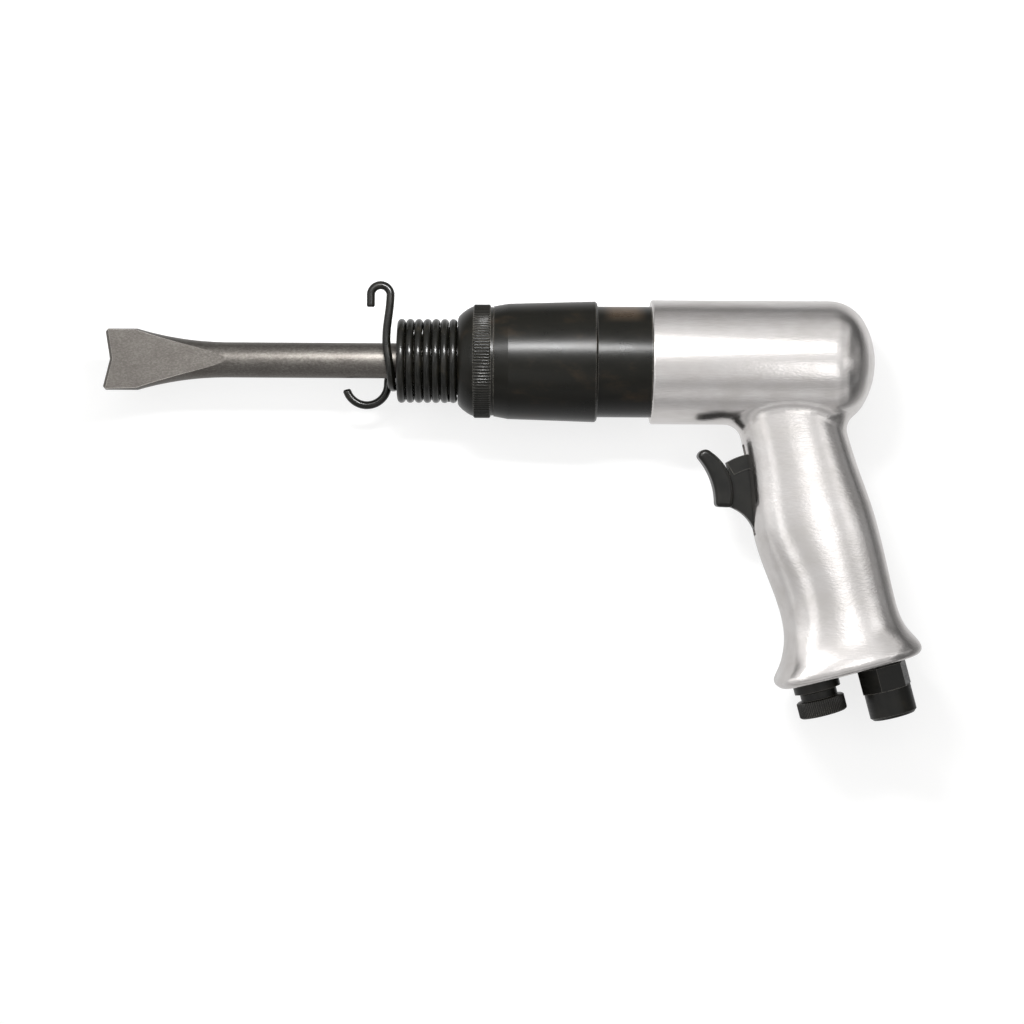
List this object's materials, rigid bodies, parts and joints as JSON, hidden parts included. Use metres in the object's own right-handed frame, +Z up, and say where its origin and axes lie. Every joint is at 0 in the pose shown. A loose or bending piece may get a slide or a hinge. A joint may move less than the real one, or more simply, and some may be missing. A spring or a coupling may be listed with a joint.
{
  "type": "air hammer",
  "caption": "Pistol-grip air hammer with a round aluminium body and leaning grip, black barrel and collar, coil retainer spring, trigger, air inlet, regulator and a notched flat chisel.",
  "frame": {"origin": "middle of the pistol grip, where the hand closes, on the tool's mid plane", "axes": "+X along the barrel from the chisel towards the back of the tool, +Y across the tool, +Z up"},
  "size_m": [0.2947, 0.0446, 0.1567],
  "materials": {
    "cast_aluminium": "cast, sanded and satin polished",
    "black_steel": "black oxide on turned steel, satin",
    "spring_steel": "black oxide on drawn spring wire",
    "black_trigger": "black, satin",
    "dark_steel": "dark oxide on turned steel",
    "chisel_steel": "forged and ground, warm grey",
    "ground_steel": "ground",
    "brass": "turned",
    "seal_rubber": "moulded"
  },
  "bodies": {
    "tool_body": {"handle_housing": "cast_aluminium", "barrel": "black_steel", "front_collar": "black_steel", "exhaust_sleeve": "black_steel", "sleeve_seals": "seal_rubber", "retainer_spring": "spring_steel", "valve_case": "ground_steel", "valve_plate": "ground_steel", "valve_dowels": "ground_steel", "valve_gasket": "seal_rubber", "trigger_pin": "ground_steel", "throttle_bush": "brass", "throttle_spring": "ground_steel", "inlet_seal": "seal_rubber", "inlet_bushing": "dark_steel", "inlet_screen": "brass", "regulator_bush": "dark_steel"},
    "trigger": {"trigger": "black_trigger"},
    "throttle": {"throttle_valve": "ground_steel", "throttle_seal": "seal_rubber"},
    "piston": {"piston": "ground_steel"},
    "valve_disc": {"valve_disc": "ground_steel"},
    "chisel": {"chisel": "chisel_steel"},
    "regulator": {"regulator_knob": "dark_steel", "regulator_seal": "seal_rubber", "regulator_clip": "ground_steel"}
  },
  "joints": [
    {"name": "trigger_pull", "type": "hinge", "parent": "tool_body", "child": "trigger", "pos_m": [-0.01946, 0, 0.00887], "axis": [0, 1, 0], "range_deg": [0, 9], "stiffness_Nm_per_rad": 1.2, "springref_deg": -8.59},
    {"name": "throttle_slide", "type": "slide", "parent": "tool_body", "child": "throttle", "axis": [0.9659, 0, 0.2588], "range_m": [0, 0.0025], "deforming": ["throttle_spring"]},
    {"name": "piston_stroke", "type": "slide", "parent": "tool_body", "child": "piston", "axis": [1, 0, 0], "range_m": [0, 0.0454]},
    {"name": "valve_shift", "type": "slide", "parent": "tool_body", "child": "valve_disc", "axis": [1, 0, 0], "range_m": [0, 0.00138]},
    {"name": "chisel_slide", "type": "slide", "parent": "tool_body", "child": "chisel", "axis": [-1, 0, 0], "range_m": [0, 0.0035]},
    {"name": "regulator_turn", "type": "hinge", "parent": "tool_body", "child": "regulator", "pos_m": [0.00354, 0, -0.06075], "axis": [0.2588, 0, -0.9659], "range_deg": [0, 270]}
  ],
  "couplings": [
    {"joint": "throttle_slide", "follows": "trigger_pull", "m_per_rad": 0.0148}
  ]
}
